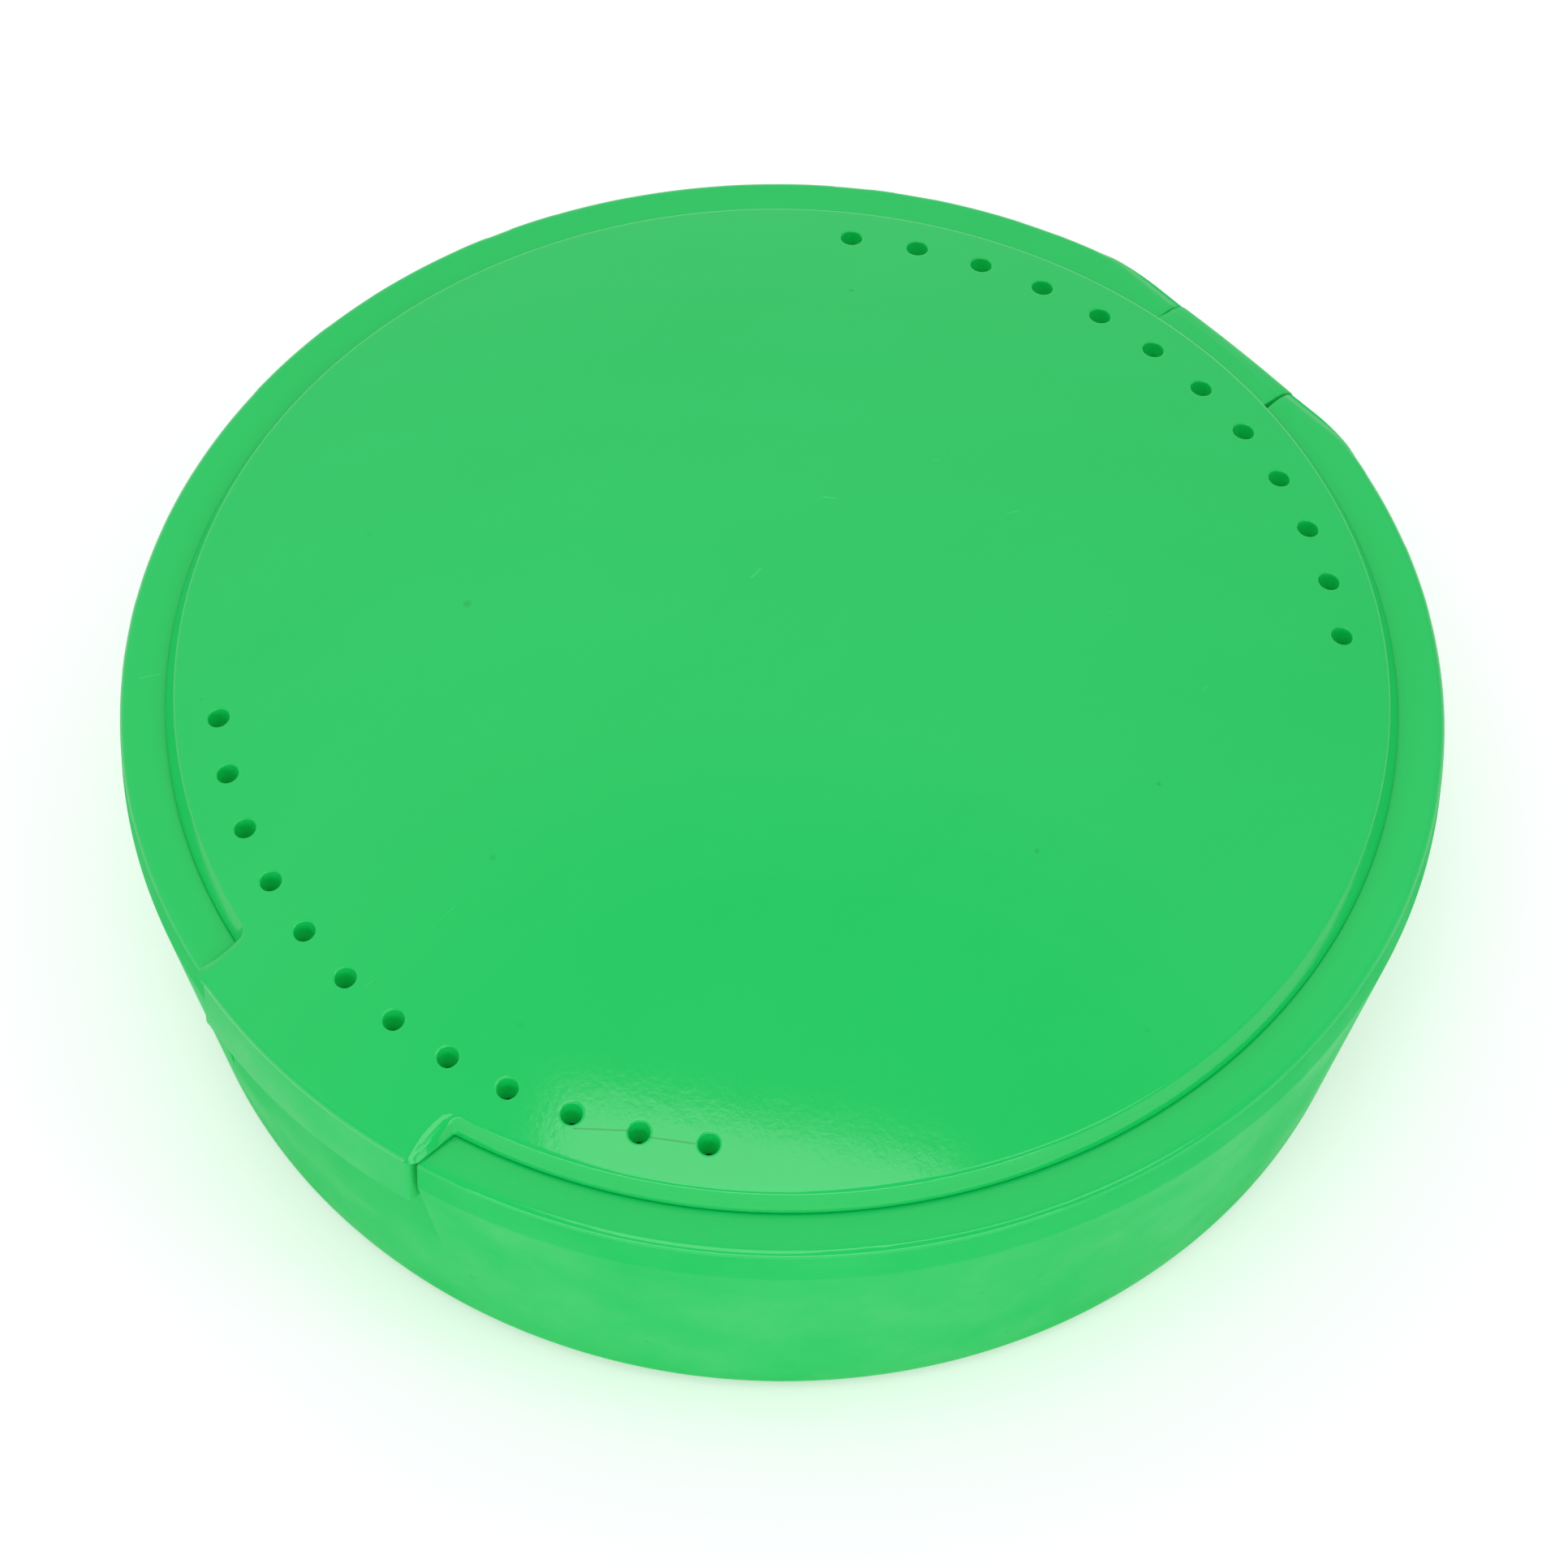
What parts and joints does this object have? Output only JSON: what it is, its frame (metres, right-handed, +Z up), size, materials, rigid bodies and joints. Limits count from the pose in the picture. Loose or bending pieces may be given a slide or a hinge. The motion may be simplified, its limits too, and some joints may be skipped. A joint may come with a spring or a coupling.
{
  "type": "orthodontic retainer case",
  "caption": "Round plastic case for an orthodontic retainer: tapered bowl, vented domed lid on a pinned back hinge, thumb tab with a snap skirt at the front.",
  "frame": {"origin": "centre of the flat ring on the underside that the case stands on", "axes": "+Z up through the lid, -Y towards the thumb tab, +Y towards the hinge"},
  "size_m": [0.0824, 0.0825, 0.0287],
  "materials": {
    "green_plastic": "glossy moulded polypropylene",
    "pin_steel": "drawn stainless wire"
  },
  "bodies": {
    "base": {"base_shell": "green_plastic", "hinge_pin": "pin_steel"},
    "lid": {"lid_shell": "green_plastic"}
  },
  "joints": [
    {"name": "lid_hinge", "type": "hinge", "parent": "base", "child": "lid", "pos_m": [0, 0.03905, 0.01975], "axis": [-1, 0, 0], "range_deg": [0, 150]}
  ]
}
